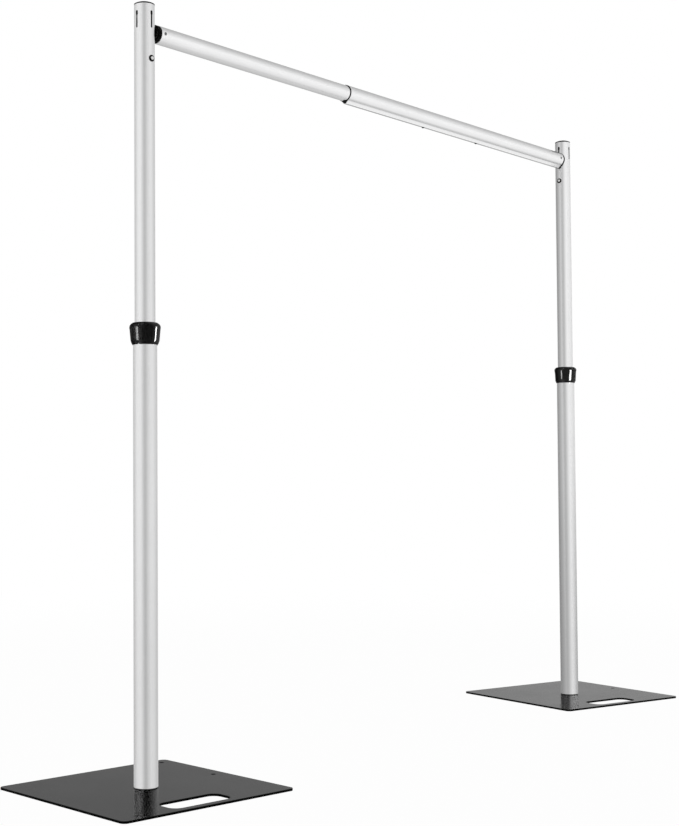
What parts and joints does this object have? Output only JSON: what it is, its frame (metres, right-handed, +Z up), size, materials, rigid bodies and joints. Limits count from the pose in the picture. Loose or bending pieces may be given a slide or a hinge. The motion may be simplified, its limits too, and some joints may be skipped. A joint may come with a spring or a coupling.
{
  "type": "background support system",
  "caption": "Studio backdrop frame: two telescoping uprights on flat steel bases with slip-lock collars, joined by a telescoping crossbar hooked into their tops.",
  "frame": {"origin": "floor level, at the centre of the overall footprint of the two base plates", "axes": "+X along the crossbar from the left upright to the right one, +Z up, hand slots on the -Y side"},
  "size_m": [2.19, 0.5232, 1.6227],
  "materials": {
    "anodised": "satin clear anodised extruded tube",
    "powder_coat": "satin black powder coat on steel plate",
    "gloss_black": "gloss moulded black nylon",
    "matte_black": "fine matte moulded black nylon",
    "steel": "zinc plated steel",
    "plated": "bright nickel plated"
  },
  "bodies": {
    "left_stand": {"lower_tube_left": "anodised", "tube_bush_left": "matte_black", "lock_seat_left": "matte_black", "collar_spring_left": "steel"},
    "left_base": {"base_plate_left": "powder_coat", "base_pin_left": "steel", "base_screw_left": "steel"},
    "left_collar": {"collar_left": "gloss_black", "lock_rollers_left": "steel"},
    "left_upper": {"upper_tube_left": "anodised", "guide_bush_left": "matte_black", "post_cap_left": "matte_black", "button_grommet_left": "matte_black"},
    "left_button": {"snap_button_left": "plated", "snap_spring_left": "steel"},
    "right_stand": {"lower_tube_right": "anodised", "tube_bush_right": "matte_black", "lock_seat_right": "matte_black", "collar_spring_right": "steel"},
    "right_base": {"base_plate_right": "powder_coat", "base_pin_right": "steel", "base_screw_right": "steel"},
    "right_collar": {"collar_right": "gloss_black", "lock_rollers_right": "steel"},
    "right_upper": {"upper_tube_right": "anodised", "guide_bush_right": "matte_black", "post_cap_right": "matte_black", "button_grommet_right": "matte_black"},
    "right_button": {"snap_button_right": "plated", "snap_spring_right": "steel"},
    "bar_inner": {"bar_inner_tube": "anodised", "bar_plug_left": "matte_black", "bar_hook_left": "steel", "hook_rivet_left": "steel", "bar_guide_plug": "matte_black"},
    "bar_outer": {"bar_outer_tube": "anodised", "bar_mouth_bush": "matte_black", "keel_glide_pads": "matte_black", "keel_screws": "steel", "bar_plug_right": "matte_black", "bar_hook_right": "steel", "hook_rivet_right": "steel"}
  },
  "joints": [
    {"name": "base_turn_left", "type": "hinge", "parent": "left_stand", "child": "left_base", "pos_m": [-0.85863, 0, 0], "axis": [0, 0, 1], "continuous": true},
    {"name": "height_left", "type": "slide", "parent": "left_stand", "child": "left_upper", "axis": [0, 0, 1], "range_m": [-0.52, 0.18]},
    {"name": "collar_lift_left", "type": "slide", "parent": "left_stand", "child": "left_collar", "axis": [0, 0, 1], "range_m": [0, 0.006], "stiffness_N_per_m": 600, "springref_m": -0.002, "deforming": ["collar_spring_left"]},
    {"name": "button_push_left", "type": "slide", "parent": "left_upper", "child": "left_button", "axis": [0, 1, 0], "range_m": [0, 0.004], "stiffness_N_per_m": 800, "springref_m": -0.001},
    {"name": "base_turn_right", "type": "hinge", "parent": "right_stand", "child": "right_base", "pos_m": [0.83337, 0, 0], "axis": [0, 0, 1], "continuous": true},
    {"name": "height_right", "type": "slide", "parent": "right_stand", "child": "right_upper", "axis": [0, 0, 1], "range_m": [-0.52, 0.18]},
    {"name": "collar_lift_right", "type": "slide", "parent": "right_stand", "child": "right_collar", "axis": [0, 0, 1], "range_m": [0, 0.006], "stiffness_N_per_m": 600, "springref_m": -0.002, "deforming": ["collar_spring_right"]},
    {"name": "button_push_right", "type": "slide", "parent": "right_upper", "child": "right_button", "axis": [1, 0, 0], "range_m": [0, 0.004], "stiffness_N_per_m": 800, "springref_m": -0.001},
    {"name": "stand_spacing", "type": "slide", "parent": "left_stand", "child": "right_stand", "axis": [1, 0, 0], "range_m": [-0.56, 0.29]},
    {"name": "bar_lift", "type": "slide", "parent": "left_upper", "child": "bar_inner", "axis": [0, 0, 1], "range_m": [0, 0.02]},
    {"name": "bar_extension", "type": "slide", "parent": "bar_inner", "child": "bar_outer", "axis": [1, 0, 0], "range_m": [-0.56, 0.29]}
  ],
  "couplings": [
    {"joint": "bar_extension", "follows": "stand_spacing", "ratio": 1},
    {"joint": "height_right", "follows": "height_left", "ratio": 1}
  ]
}
